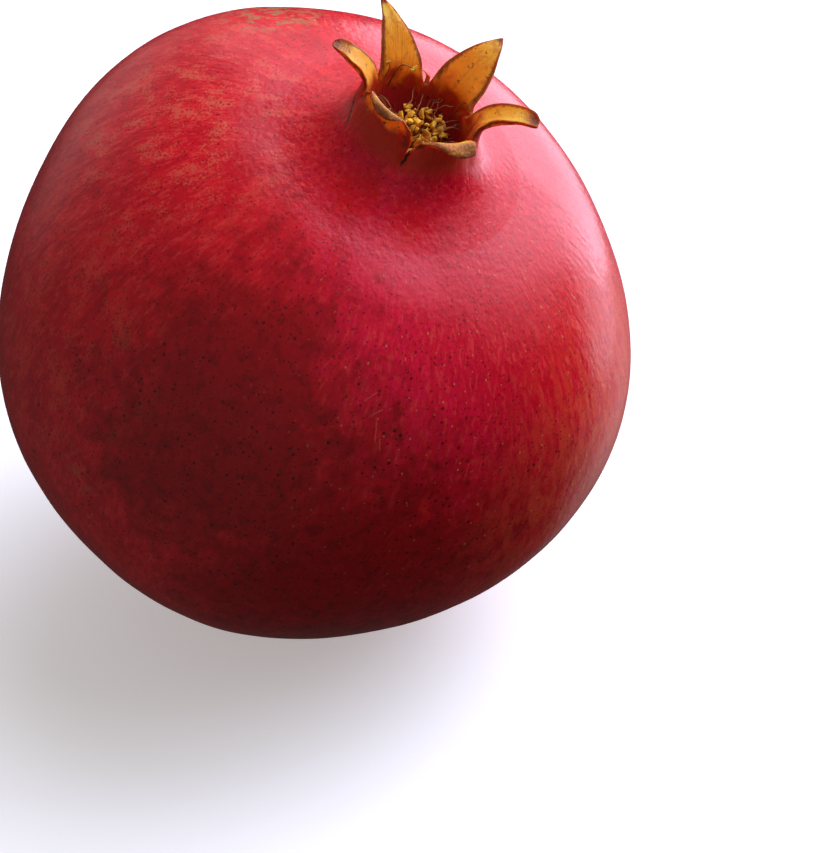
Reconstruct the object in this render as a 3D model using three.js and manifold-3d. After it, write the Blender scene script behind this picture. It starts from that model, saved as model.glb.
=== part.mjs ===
// A whole ripe pomegranate as it comes to rest on a table: on a small flat spot beside its stem end, with the
// crown leaning over to one side. Millimetres and degrees, +Z up, +X the way the crown leans.
//
// Each piece is made in the fruit's own upright frame, with the middle of its widest ring at the origin and
// the crown on +Z, and the group at the end leans them all together. The body is a sphere flattened at both
// ends, with six faint carpel ridges and a few broad swells. The calyx is a cup on a short neck that splits
// into six sepals, each a thick blade bent along its own centre line. Dried stamens stand in the cup, and a
// stub of stem closes the other end.
import * as THREE from "three";
import { mergeVertices } from "three/addons/utils/BufferGeometryUtils.js";
import Module from "manifold-3d";

const wasm = await Module();
wasm.setup();

// The body.
const BODY_RADIUS = 48.3;
const CROWN_POLE = 43.5; // from the middle to the top of the body, under the neck
const STEM_POLE = 46.2; // from the middle to the stem end
const FLATTENING = 5; // the power that keeps the flattening near the two ends
const CARPELS = { count: 6, relief: 0.45, turn: 20 };
const SWELLS = [
  { azimuth: 165, polar: 64, height: 2.0, spread: 28 }, // the full shoulder, behind the crown
  { azimuth: 20, polar: 84, height: 1.9, spread: 24 }, // the belly, under the lean
  { azimuth: 60, polar: 58, height: -1.3, spread: 20 }, // the flatter shoulder
  { azimuth: -85, polar: 130, height: 0.9, spread: 45 },
  { azimuth: 110, polar: 108, height: -0.8, spread: 30 },
  { azimuth: -40, polar: 80, height: -0.6, spread: 26 },
];
const SWELLS_START = { polar: 18, full: 48 }; // degrees from the crown: none under the neck
const STEM_DIMPLE = { depth: 1.6, spread: 10 };

// The neck and the calyx cup.
const NECK_FOOT_POLAR = 22; // where the neck leaves the body, in degrees from the crown
const NECK_FLARE = 5.5; // how far the foot of the neck runs on along the body
const RIM_RADIUS = 9.4;
const RIM_HEIGHT = 50; // of the notches between the sepals, above the middle
const WALL = 1.6;
const CUP_DEPTH = 9;
const CALYX_TILT = { angle: 9, azimuth: 122, from: 42, to: 50 }; // the neck bends between these heights
const SEAM_GAP = 0.4;

// The sepals, round the cup. from and to are the azimuths of the notches beside each. lean is the turn
// outwards at the foot, curl is what the blade turns further by its tip, and late is the power that keeps the
// curl for the tip. trough is half the arc that the blade bends through across its tip, sway is the tip's
// drift round the cup, and tip is the width left there. They are listed from the right, anticlockwise.
const SEPALS = [
  { from: 4, to: 46, length: 10.5, lean: 48, curl: 20, late: 1.2, trough: 26, sway: 0, tip: 1.6 },
  { from: 46, to: 116, length: 11, lean: 32, curl: 30, late: 1.5, trough: 12, sway: 4, tip: 0.5 },
  { from: 116, to: 172, length: 10.7, lean: 36, curl: 29, late: 1.5, trough: 14, sway: 12, tip: 0.5 },
  { from: 172, to: 212, length: 11, lean: 36, curl: 26, late: 1.2, trough: 30, sway: 14, tip: 1.6 },
  { from: 212, to: 290, length: 6.7, lean: 10, curl: 112, late: 2.6, trough: 6, sway: 0, tip: 2 },
  { from: 290, to: 364, length: 6.2, lean: 34, curl: 72, late: 1.2, trough: 6, sway: 12, tip: 2 },
];
const SEPAL_OUTLINE_POWER = 1.7; // 1 would be a straight-sided triangle
const SEPAL_TIP_THICKNESS = 1.0;
const SEPAL_ROOT = 2.4; // sunk in the wall of the cup
const NOTCH_GAP = 0.04; // share of a sepal's width that the notch takes at its foot
const CRACK_AZIMUTHS = [212, 290]; // where the wall has split below a notch
const CRACK_SIZE = { width: 0.6, depth: 1.4, length: 7 };

// The stamens.
const STAMEN_COUNT = 40;
const STAMEN_BED = { height: 44, radius: 6.3, gap: 0.35 };
const FILAMENT = { width: 0.75, steps: 3, shortest: 2.2, longest: 4.6 };
const ANTHER = { length: 1.5, width: 1.1 };
const GOLDEN_ANGLE = 137.508;

// The stem end.
const STUB = { radius: 3.2, length: 5.2, sunk: 3.4, gap: 0.3, sides: 14 };

// How the fruit rests.
const LEAN = 22;
const MIDDLE = new THREE.Vector3(0, 0, 46.6); // of the fruit, over the resting spot

const ROUND_SEGMENTS = 64;
const CUP_SEGMENTS = 32;
const BODY_STEPS = 26;
const NECK_STEPS = 6;
const CUP_STEPS = 6;

const radians = THREE.MathUtils.degToRad;
const smooth = THREE.MathUtils.smoothstep;

/** A repeatable draw between 0 and 1. */
function seededRandom(seed) {
  let state = seed;
  return () => {
    state = (state + 0x6d2b79f5) | 0;
    let t = Math.imul(state ^ (state >>> 15), 1 | state);
    t = (t + Math.imul(t ^ (t >>> 7), 61 | t)) ^ t;
    return ((t ^ (t >>> 14)) >>> 0) / 4294967296;
  };
}

/** The unit vector at an azimuth about +Z and a polar angle from it, in degrees. */
function direction(azimuth, polar) {
  const across = Math.sin(radians(polar));
  const turn = radians(azimuth);
  return new THREE.Vector3(across * Math.cos(turn), across * Math.sin(turn), Math.cos(radians(polar)));
}

/** A closed three.js geometry as a manifold-3d solid. */
function solidOf(geometry) {
  const bare = geometry.index ? geometry.toNonIndexed() : geometry.clone();
  bare.deleteAttribute("normal");
  bare.deleteAttribute("uv");
  const merged = mergeVertices(bare, 1e-4);
  return new wasm.Manifold(
    new wasm.Mesh({
      numProp: 3,
      vertProperties: merged.attributes.position.array,
      triVerts: new Uint32Array(merged.index.array),
    }),
  );
}

/** A manifold-3d solid as a three.js geometry. */
function geometryOf(solid) {
  const mesh = solid.getMesh();
  return new THREE.BufferGeometry()
    .setAttribute("position", new THREE.BufferAttribute(mesh.vertProperties, 3))
    .setIndex(new THREE.BufferAttribute(mesh.triVerts, 1));
}

/** Moves every vertex of a geometry by a function that changes the vector it is given. */
function moveVertices(geometry, move) {
  const position = geometry.attributes.position;
  const point = new THREE.Vector3();
  for (let i = 0; i < position.count; i++) {
    move(point.fromBufferAttribute(position, i));
    position.setXYZ(i, point.x, point.y, point.z);
  }
  return geometry;
}

/** A solid of revolution about +Z, from a profile of (radius, height) points that runs from the bottom up. */
function lathe(profile, segments = ROUND_SEGMENTS) {
  return new THREE.LatheGeometry(profile, segments).rotateX(Math.PI / 2);
}

/** The body's radius before its ridges and swells, at a polar angle from the crown. */
function plainRadius(polar) {
  const c = Math.cos(radians(polar));
  const pole = c > 0 ? CROWN_POLE : STEM_POLE;
  const fromStem = (180 - polar) / STEM_DIMPLE.spread;
  const dimple = STEM_DIMPLE.depth * Math.exp(-fromStem * fromStem);
  return BODY_RADIUS - (BODY_RADIUS - pole) * Math.abs(c) ** FLATTENING - dimple;
}

/** How far ridges and swells lift the skin from the plain body, at a point of it. */
function relief(point) {
  const towards = point.clone().normalize();
  const polar = THREE.MathUtils.radToDeg(towards.angleTo(new THREE.Vector3(0, 0, 1)));
  const azimuth = Math.atan2(towards.y, towards.x);
  const wave = Math.cos(CARPELS.count * azimuth + radians(CARPELS.turn));
  const ridges = CARPELS.relief * wave * Math.sin(radians(polar)) ** 3;
  const swells = SWELLS.reduce((sum, swell) => {
    const angle = towards.angleTo(direction(swell.azimuth, swell.polar));
    const away = THREE.MathUtils.radToDeg(angle) / swell.spread;
    return sum + swell.height * Math.exp(-away * away);
  }, 0);
  return ridges + swells * smooth(polar, SWELLS_START.polar, SWELLS_START.full);
}

/** A point of the body's profile at a polar angle, as (radius, height). */
function bodyPoint(polar) {
  const r = plainRadius(polar);
  return new THREE.Vector2(r * Math.sin(radians(polar)), r * Math.cos(radians(polar)));
}

/** The neck's profile, from its foot on the body up to the rim. */
function neckCurve() {
  const foot = bodyPoint(NECK_FOOT_POLAR);
  const along = bodyPoint(NECK_FOOT_POLAR - 1).sub(foot).normalize();
  return new THREE.CubicBezierCurve(
    foot,
    foot.clone().addScaledVector(along, NECK_FLARE),
    new THREE.Vector2(RIM_RADIUS + 0.2, RIM_HEIGHT - 4.5),
    new THREE.Vector2(RIM_RADIUS, RIM_HEIGHT),
  );
}

/** The whole outside up to the rim of the cup, closed across the rim. */
function wholeSkin() {
  const profile = [];
  for (let i = 0; i < BODY_STEPS; i++) {
    profile.push(bodyPoint(THREE.MathUtils.lerp(180, NECK_FOOT_POLAR, i / BODY_STEPS)));
  }
  profile[0].x = 0;
  profile.push(...neckCurve().getPoints(NECK_STEPS), new THREE.Vector2(0, RIM_HEIGHT));
  return moveVertices(lathe(profile), (point) => {
    point.addScaledVector(point.clone().normalize(), relief(point));
  });
}

/** Everything above the seam between rind and calyx: a bowl under the cup that opens out above it. */
function calyxSide() {
  const floor = RIM_HEIGHT - CUP_DEPTH;
  const bowl = new THREE.CubicBezierCurve(
    new THREE.Vector2(0, floor - 2.2),
    new THREE.Vector2(5, floor - 2.2),
    new THREE.Vector2(8, floor + 0.5),
    new THREE.Vector2(13, floor + 6),
  );
  const above = RIM_HEIGHT + 5;
  const profile = bowl.getPoints(CUP_STEPS);
  profile.push(new THREE.Vector2(20, above), new THREE.Vector2(0, above));
  return solidOf(lathe(profile, CUP_SEGMENTS));
}

/** The profile of the cup's hollow from its floor to its mouth, narrowed by a gap. */
function cupCurve(gap) {
  const floor = RIM_HEIGHT - CUP_DEPTH + gap;
  const mouth = RIM_RADIUS - WALL - gap;
  return new THREE.CubicBezierCurve(
    new THREE.Vector2(0, floor),
    new THREE.Vector2(mouth * 0.75, floor),
    new THREE.Vector2(mouth * 0.97, floor + 3.5),
    new THREE.Vector2(mouth, RIM_HEIGHT),
  );
}

/** The hollow of the cup, open above. */
function cupHollow() {
  const above = RIM_HEIGHT + 1;
  const mouth = RIM_RADIUS - WALL;
  const profile = cupCurve(0).getPoints(CUP_STEPS);
  profile.push(new THREE.Vector2(mouth, above), new THREE.Vector2(0, above));
  return solidOf(lathe(profile, CUP_SEGMENTS));
}

/** The middle line of a sepal as a function of its share v of the length: radius, height and outward turn. */
function sepalLine(sepal) {
  const steps = 40;
  const turn = (v) => radians(sepal.lean * smooth(v, 0, 0.3) + sepal.curl * v ** sepal.late);
  const line = [{ r: RIM_RADIUS - WALL / 2, z: RIM_HEIGHT, turn: 0 }];
  for (let i = 1; i <= steps; i++) {
    const last = line[i - 1];
    const heading = turn((i - 0.5) / steps);
    const step = sepal.length / steps;
    const r = last.r + step * Math.sin(heading);
    const z = last.z + step * Math.cos(heading);
    line.push({ r, z, turn: turn(i / steps) });
  }
  return (v) => {
    if (v <= 0) return { r: line[0].r, z: line[0].z + v * sepal.length, turn: 0 };
    const at = Math.min(v * steps, steps - 1e-9);
    const low = line[Math.floor(at)];
    const high = line[Math.floor(at) + 1];
    const mix = (key) => THREE.MathUtils.lerp(low[key], high[key], at % 1);
    return { r: mix("r"), z: mix("z"), turn: mix("turn") };
  };
}

/** The middle surface of a sepal: u runs from -1 to 1 across it, v from below 0 in the wall to 1 at the tip. */
function sepalSurface(sepal) {
  const line = sepalLine(sepal);
  const halfSpan = radians((sepal.to - sepal.from) / 2);
  const fullHalfWidth = (RIM_RADIUS - WALL / 2) * halfSpan;
  return (u, v, point) => {
    const along = Math.max(v, 0);
    const { r, z, turn } = line(v);
    const notch = 1 - NOTCH_GAP * smooth(along, 0, 0.08);
    const outline = 1 - along ** SEPAL_OUTLINE_POWER;
    const halfWidth = sepal.tip / 2 + (fullHalfWidth * notch - sepal.tip / 2) * outline;
    const half = THREE.MathUtils.lerp(halfSpan, radians(sepal.trough), along);
    const bend = half * u;
    const across = (halfWidth / half) * Math.sin(bend);
    const inward = (halfWidth / half) * (1 - Math.cos(bend));
    const azimuth = radians((sepal.from + sepal.to) / 2 + sepal.sway * along * along);
    return point
      .set(r - inward * Math.cos(turn), across, z + inward * Math.sin(turn))
      .applyAxisAngle(new THREE.Vector3(0, 0, 1), azimuth);
  };
}

/** A sepal as a closed blade, its root sunk in the wall of the cup. */
function sepalBlade(sepal) {
  const acrossSteps = 6;
  const alongSteps = 8;
  const surface = sepalSurface(sepal);
  const side = (sign) => {
    const points = [];
    const rootShare = SEPAL_ROOT / sepal.length;
    for (let j = 0; j <= alongSteps; j++) {
      for (let i = 0; i <= acrossSteps; i++) {
        const u = (2 * i) / acrossSteps - 1;
        const v = -rootShare + ((1 + rootShare) * j) / alongSteps;
        const here = surface(u, v, new THREE.Vector3());
        const overU = surface(u + 0.01, v, new THREE.Vector3()).sub(here);
        const overV = surface(u, v + 0.01, new THREE.Vector3()).sub(here);
        const thickness = THREE.MathUtils.lerp(WALL - 0.1, SEPAL_TIP_THICKNESS, Math.max(v, 0));
        points.push(here.addScaledVector(overU.cross(overV).normalize(), (sign * thickness) / 2));
      }
    }
    return points;
  };
  const outside = side(1);
  const inside = side(-1);
  const count = outside.length;
  const row = acrossSteps + 1;
  const faces = [];
  const quad = (a, b, c, d) => faces.push(a, b, c, a, c, d);
  for (let j = 0; j < alongSteps; j++) {
    for (let i = 0; i < acrossSteps; i++) {
      const a = j * row + i;
      const b = count + a;
      quad(a, a + 1, a + row + 1, a + row);
      faces.push(b, b + row + 1, b + 1, b, b + row, b + row + 1);
    }
    const left = j * row;
    const right = left + acrossSteps;
    quad(left, left + row, count + left + row, count + left);
    quad(right, count + right, count + right + row, right + row);
  }
  for (let i = 0; i < acrossSteps; i++) {
    const top = alongSteps * row + i;
    quad(i, count + i, count + i + 1, i + 1);
    quad(top, top + 1, count + top + 1, count + top);
  }
  const coordinates = [...outside, ...inside].flatMap((point) => point.toArray());
  const blade = new THREE.BufferGeometry();
  blade.setAttribute("position", new THREE.Float32BufferAttribute(coordinates, 3));
  return solidOf(blade.setIndex(faces));
}

/** A thin wedge that opens a crack in the neck below a notch. */
function crackWedge(azimuth) {
  const { width, depth, length } = CRACK_SIZE;
  const wedge = new THREE.OctahedronGeometry(1).scale(depth, width / 2, length / 2);
  return solidOf(wedge.translate(RIM_RADIUS, 0, RIM_HEIGHT - length / 2 + 1).rotateZ(radians(azimuth)));
}

/** The calyx: neck, cup and six sepals, grown together. */
function calyxSolid(skin) {
  const neck = skin.intersect(calyxSide()).subtract(cupHollow());
  const crown = SEPALS.map(sepalBlade).reduce((whole, blade) => whole.add(blade), neck);
  return CRACK_AZIMUTHS.map(crackWedge).reduce((whole, crack) => whole.subtract(crack), crown);
}

/** The bed that the stamens stand on, filling the foot of the cup. */
function stamenBed() {
  const { height, radius, gap } = STAMEN_BED;
  const profile = cupCurve(gap).getPoints(12).filter((point) => point.y < height - 0.4 && point.x < radius);
  profile.push(new THREE.Vector2(radius, height), new THREE.Vector2(0, height + 0.3));
  return solidOf(lathe(profile, 24));
}

/** One stamen: a filament that curves from its root to an anther over the middle of the cup. */
function stamen(index, random) {
  const share = Math.sqrt((index + 0.5) / STAMEN_COUNT);
  const azimuth = radians(index * GOLDEN_ANGLE);
  const rootRadius = (STAMEN_BED.radius - 0.7) * share;
  const height = THREE.MathUtils.lerp(FILAMENT.shortest, FILAMENT.longest, random()) * (1.1 - 0.35 * share);
  const reach = rootRadius * (0.95 - 0.3 * random());
  const swing = azimuth + 0.5 * (random() - 0.5);
  const spot = (radius, angle, z) => new THREE.Vector3(radius * Math.cos(angle), radius * Math.sin(angle), z);
  const curve = new THREE.QuadraticBezierCurve3(
    spot(rootRadius, azimuth, STAMEN_BED.height - 0.6),
    spot(rootRadius * 1.05, swing, STAMEN_BED.height + height * 0.7),
    spot(reach, swing, STAMEN_BED.height + height),
  );
  const half = FILAMENT.width / 2;
  const section = new THREE.Shape([
    new THREE.Vector2(half, 0),
    new THREE.Vector2(0, half),
    new THREE.Vector2(-half, 0),
    new THREE.Vector2(0, -half),
  ]);
  const sweep = { steps: FILAMENT.steps, extrudePath: curve, bevelEnabled: false };
  const filament = new THREE.ExtrudeGeometry(section, sweep);
  const anther = new THREE.SphereGeometry(0.5, 5, 4)
    .scale(ANTHER.width, ANTHER.length, ANTHER.width)
    .rotateX(Math.PI * random())
    .rotateZ(Math.PI * random())
    .translate(...curve.v2.toArray());
  return [solidOf(filament), solidOf(anther)];
}

/** The dried stamens, joined by their bed. */
function stamenTuft() {
  const random = seededRandom(11);
  const repeats = Array.from({ length: STAMEN_COUNT }, (_, index) => stamen(index, random)).flat();
  return repeats.reduce((whole, piece) => whole.add(piece), stamenBed());
}

/** The stub of stem, or the socket that holds it when it is grown by a gap. */
function stemStub(gap) {
  const { radius, length, sunk, sides } = STUB;
  const foot = -plainRadius(180);
  const cylinder = new THREE.CylinderGeometry((radius + gap) * 0.9, radius + gap, length + gap, sides);
  return solidOf(cylinder.rotateX(Math.PI / 2).translate(0, 0, foot + sunk + gap - (length + gap) / 2));
}

/** The table under the leaning fruit, in the fruit's own frame. */
function tableTop(toFruit) {
  const size = 4 * BODY_RADIUS;
  const box = new THREE.BoxGeometry(size, size, size).translate(0, 0, -size / 2);
  return solidOf(box.applyMatrix4(toFruit));
}

/** Turns a point near the rim aside, so that the calyx stands a little off the fruit's axis. */
function tiltCalyx(point) {
  const { angle, azimuth, from, to } = CALYX_TILT;
  const turn = radians(angle) * smooth(point.z, from, to);
  const axis = direction(azimuth + 90, 90);
  const pivot = new THREE.Vector3(0, 0, from);
  point.sub(pivot).applyAxisAngle(axis, turn).add(pivot);
}

/** A finished piece in its own material. */
function piece(name, solid, color, roughness) {
  const geometry = moveVertices(geometryOf(solid), tiltCalyx);
  geometry.computeVertexNormals();
  const mesh = new THREE.Mesh(geometry, new THREE.MeshStandardMaterial({ color, roughness, metalness: 0 }));
  mesh.name = name;
  return mesh;
}

const fruit = new THREE.Group();
fruit.rotation.y = radians(LEAN);
fruit.position.copy(MIDDLE);
fruit.updateMatrix();

const skin = solidOf(wholeSkin());
const rind = skin
  .subtract(calyxSide().translate([0, 0, -SEAM_GAP]))
  .subtract(stemStub(STUB.gap))
  .subtract(tableTop(fruit.matrix.clone().invert()));

fruit.add(
  piece("rind", rind, 0xa5142a, 0.4),
  piece("calyx", calyxSolid(skin), 0xc4581c, 0.55),
  piece("stamens", stamenTuft(), 0xb98b32, 0.8),
  piece("stem_stub", stemStub(0), 0x6f5138, 0.85),
);

const pomegranate = new THREE.Group();
pomegranate.add(fruit);

export default pomegranate;
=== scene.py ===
"""A whole ripe pomegranate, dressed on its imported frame.

The fruit is modelled upright and in millimetres, with the middle of its widest ring at the origin and its crown
on +Z. Its neck is then bent a little aside, and the whole leans over and is set down on the table in metres.
"""

import logging
import math
import random
from collections.abc import Callable, Sequence
from dataclasses import dataclass, field
from enum import Enum

import bmesh
import bpy
from bmesh.types import BMEdge, BMesh, BMFace, BMVert
from mathutils import Euler, Matrix, Quaternion, Vector, noise


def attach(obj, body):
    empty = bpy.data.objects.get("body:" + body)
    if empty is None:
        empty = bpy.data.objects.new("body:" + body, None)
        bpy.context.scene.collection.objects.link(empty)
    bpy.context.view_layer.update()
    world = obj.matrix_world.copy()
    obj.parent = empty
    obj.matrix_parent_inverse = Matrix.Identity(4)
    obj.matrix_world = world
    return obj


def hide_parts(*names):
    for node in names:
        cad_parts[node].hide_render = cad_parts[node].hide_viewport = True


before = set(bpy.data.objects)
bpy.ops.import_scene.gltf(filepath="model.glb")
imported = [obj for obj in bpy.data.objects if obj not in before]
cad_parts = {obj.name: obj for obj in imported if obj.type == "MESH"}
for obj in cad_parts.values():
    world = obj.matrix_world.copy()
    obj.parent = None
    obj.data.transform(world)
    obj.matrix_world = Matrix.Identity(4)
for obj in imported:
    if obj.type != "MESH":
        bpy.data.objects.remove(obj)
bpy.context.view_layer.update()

LOG = logging.getLogger("pomegranate")
MILLIMETRE = 0.001
ROOT_BODY = "root"
SHADING = "shading"
RIM_HEIGHT = 50.0
GOLDEN_ANGLE = 137.508
SEED = 23

Socket = bpy.types.NodeSocket
Feed = Socket | float | Sequence[float]
Colour = tuple[float, float, float]
UP = Vector((0, 0, 1))


def smooth_step(value: float, low: float, high: float) -> float:
    """A smooth rise from 0 at low to 1 at high."""
    share = min(max((value - low) / (high - low), 0.0), 1.0)
    return share * share * (3 - 2 * share)


def blend(low: float, high: float, share: float) -> float:
    """The value that is a share of the way from low to high."""
    return low + (high - low) * share


def cosine(angle: float) -> float:
    """The cosine of an angle in degrees."""
    return math.cos(math.radians(angle))


def azimuth_of(point: Vector) -> float:
    """A point's azimuth about +Z, in degrees."""
    return math.degrees(math.atan2(point.y, point.x))


def turn_from(start: float, azimuth: float) -> float:
    """The turn from one azimuth to another, from -180 to 180 degrees."""
    return (azimuth - start + 180) % 360 - 180


def direction(azimuth: float, polar: float) -> Vector:
    """The unit vector at an azimuth about +Z and a polar angle from it, in degrees."""
    across = math.sin(math.radians(polar))
    turn = math.radians(azimuth)
    return Vector((across * math.cos(turn), across * math.sin(turn), math.cos(math.radians(polar))))


def bezier(points: Sequence[tuple[float, float]], steps: int) -> list[tuple[float, float]]:
    """Points along a cubic curve.

    Args:
        points: Its four control points, as (radius, height).
        steps: How many equal steps of its parameter to take.

    Returns:
        steps + 1 points, from the first control point to the last.
    """
    curve = []
    for i in range(steps + 1):
        t = i / steps
        weights = ((1 - t) ** 3, 3 * t * (1 - t) ** 2, 3 * t * t * (1 - t), t**3)
        curve.append(tuple(sum(w * p[k] for w, p in zip(weights, points)) for k in (0, 1)))
    return curve


def placed(name: str, data: bpy.types.ID) -> bpy.types.Object:
    """A new object in the scene."""
    thing = bpy.data.objects.new(name, data)
    bpy.context.scene.collection.objects.link(thing)
    return thing


def meshed(bm: BMesh, name: str) -> bpy.types.Mesh:
    """A new mesh of a shape, which is freed."""
    mesh = bpy.data.meshes.new(name)
    bm.to_mesh(mesh)
    bm.free()
    return mesh


def subdivide(piece: bpy.types.Object, levels: int) -> None:
    """Rounds a piece by subdividing its faces that many times."""
    rounding = piece.modifiers.new("rounding", "SUBSURF")
    rounding.levels = rounding.render_levels = levels


class Pattern(Enum):
    """The attributes that the shaders read from the fruit's skin."""

    CROWN = "crown"  # 0 on the rind, 1 on the calyx
    ALONG = "along"  # 0 at a sepal's foot, 1 at its tip
    ACROSS = "across"  # 0 on a sepal's middle line, 1 on its edges
    INNER = "inner"  # 1 on the inner face of cup and sepals
    DEPTH = "depth"  # 0 at the cup's rim, 1 on its floor
    DRY = "dry"  # 1 where a sepal has dried: its tip, and the lip that is folded out


@dataclass(frozen=True)
class Stance:
    """How the fruit stands on the table, in degrees and millimetres."""

    lean: float = 22.0
    middle_height: float = 46.6
    neck_turn: float = 9.0
    neck_azimuth: float = 122.0
    bend_from: float = 42.0
    bend_to: float = 50.0

    @property
    def middle(self) -> Vector:
        """The fruit's middle, in metres."""
        return Vector((0, 0, self.middle_height)) * MILLIMETRE

    @property
    def to_table(self) -> Matrix:
        """The matrix from the upright fruit in millimetres to the table's frame in metres."""
        turn = Matrix.Rotation(math.radians(self.lean), 4, "Y")
        return Matrix.Translation(self.middle) @ turn @ Matrix.Scale(MILLIMETRE, 4)

    def bend(self, point: Vector) -> Vector:
        """The place of an upright point once the neck has bent aside."""
        angle = math.radians(self.neck_turn) * smooth_step(point.z, self.bend_from, self.bend_to)
        pivot = Vector((0, 0, self.bend_from))
        axis = direction(self.neck_azimuth + 90, 90)
        return pivot + Quaternion(axis, angle) @ (point - pivot)

    def set_down(self, bm: BMesh) -> None:
        """Turns a shape's faces outwards, bends its neck, leans it over and flattens what would sink too low."""
        bmesh.ops.recalc_face_normals(bm, faces=bm.faces)
        to_table = self.to_table
        for vert in bm.verts:
            vert.co = to_table @ self.bend(vert.co)
            vert.co.z = max(vert.co.z, 0.0)


@dataclass(frozen=True)
class Swell:
    """A broad rise or hollow of the body, in degrees and millimetres."""

    azimuth: float
    polar: float
    height: float
    spread: float


@dataclass(frozen=True)
class BodyForm:
    """The fruit's body: a sphere flattened at both ends, with carpel ridges, swells and small dents.

    Swells and dents set in between the polar angles that end in from and full. A dent is dent_size across.
    """

    radius: float = 48.3
    crown_pole: float = 43.5
    stem_pole: float = 46.2
    flattening: float = 5.0
    carpels: int = 6
    ridge: float = 0.45
    ridge_turn: float = 20.0
    dimple_depth: float = 1.6
    dimple_spread: float = 10.0
    swells: tuple[Swell, ...] = (
        Swell(165, 64, 2.0, 28),
        Swell(20, 84, 1.9, 24),
        Swell(60, 58, -1.3, 20),
        Swell(-85, 130, 0.9, 45),
        Swell(110, 108, -0.8, 30),
        Swell(-40, 80, -0.6, 26),
    )
    swells_from: float = 18.0
    swells_full: float = 48.0
    dents_from: float = 17.0
    dents_full: float = 27.0
    dent_height: float = 0.26
    dent_size: float = 13.0
    fine_dents: float = 0.35
    finer_by: float = 2.6

    def plain_radius(self, polar: float) -> float:
        """The body's radius before ridges and swells, at a polar angle in degrees."""
        slope = math.cos(math.radians(polar))
        pole = self.crown_pole if slope > 0 else self.stem_pole
        dimple = self.dimple_depth * math.exp(-(((180 - polar) / self.dimple_spread) ** 2))
        return self.radius - (self.radius - pole) * abs(slope) ** self.flattening - dimple

    def profile_point(self, polar: float) -> tuple[float, float]:
        """The (radius, height) of the body's profile at a polar angle."""
        r = self.plain_radius(polar)
        return r * math.sin(math.radians(polar)), r * math.cos(math.radians(polar))

    def relief(self, point: Vector) -> float:
        """How far ridges, swells and small dents lift the skin at a point of the plain body."""
        towards = point.normalized()
        polar = math.degrees(towards.angle(UP))
        azimuth = math.atan2(towards.y, towards.x)
        wave = math.cos(self.carpels * azimuth + math.radians(self.ridge_turn))
        ridges = self.ridge * wave * math.sin(math.radians(polar)) ** 3
        swells = 0.0
        for swell in self.swells:
            away = math.degrees(towards.angle(direction(swell.azimuth, swell.polar))) / swell.spread
            swells += swell.height * math.exp(-away * away)
        swells *= smooth_step(polar, self.swells_from, self.swells_full)
        place = point / self.dent_size
        dents = noise.noise(place) + self.fine_dents * noise.noise(place * self.finer_by)
        dents *= smooth_step(polar, self.dents_from, self.dents_full) * blend(1.3, 1.0, smooth_step(polar, 28, 50))
        return ridges + swells + self.dent_height * dents


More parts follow.
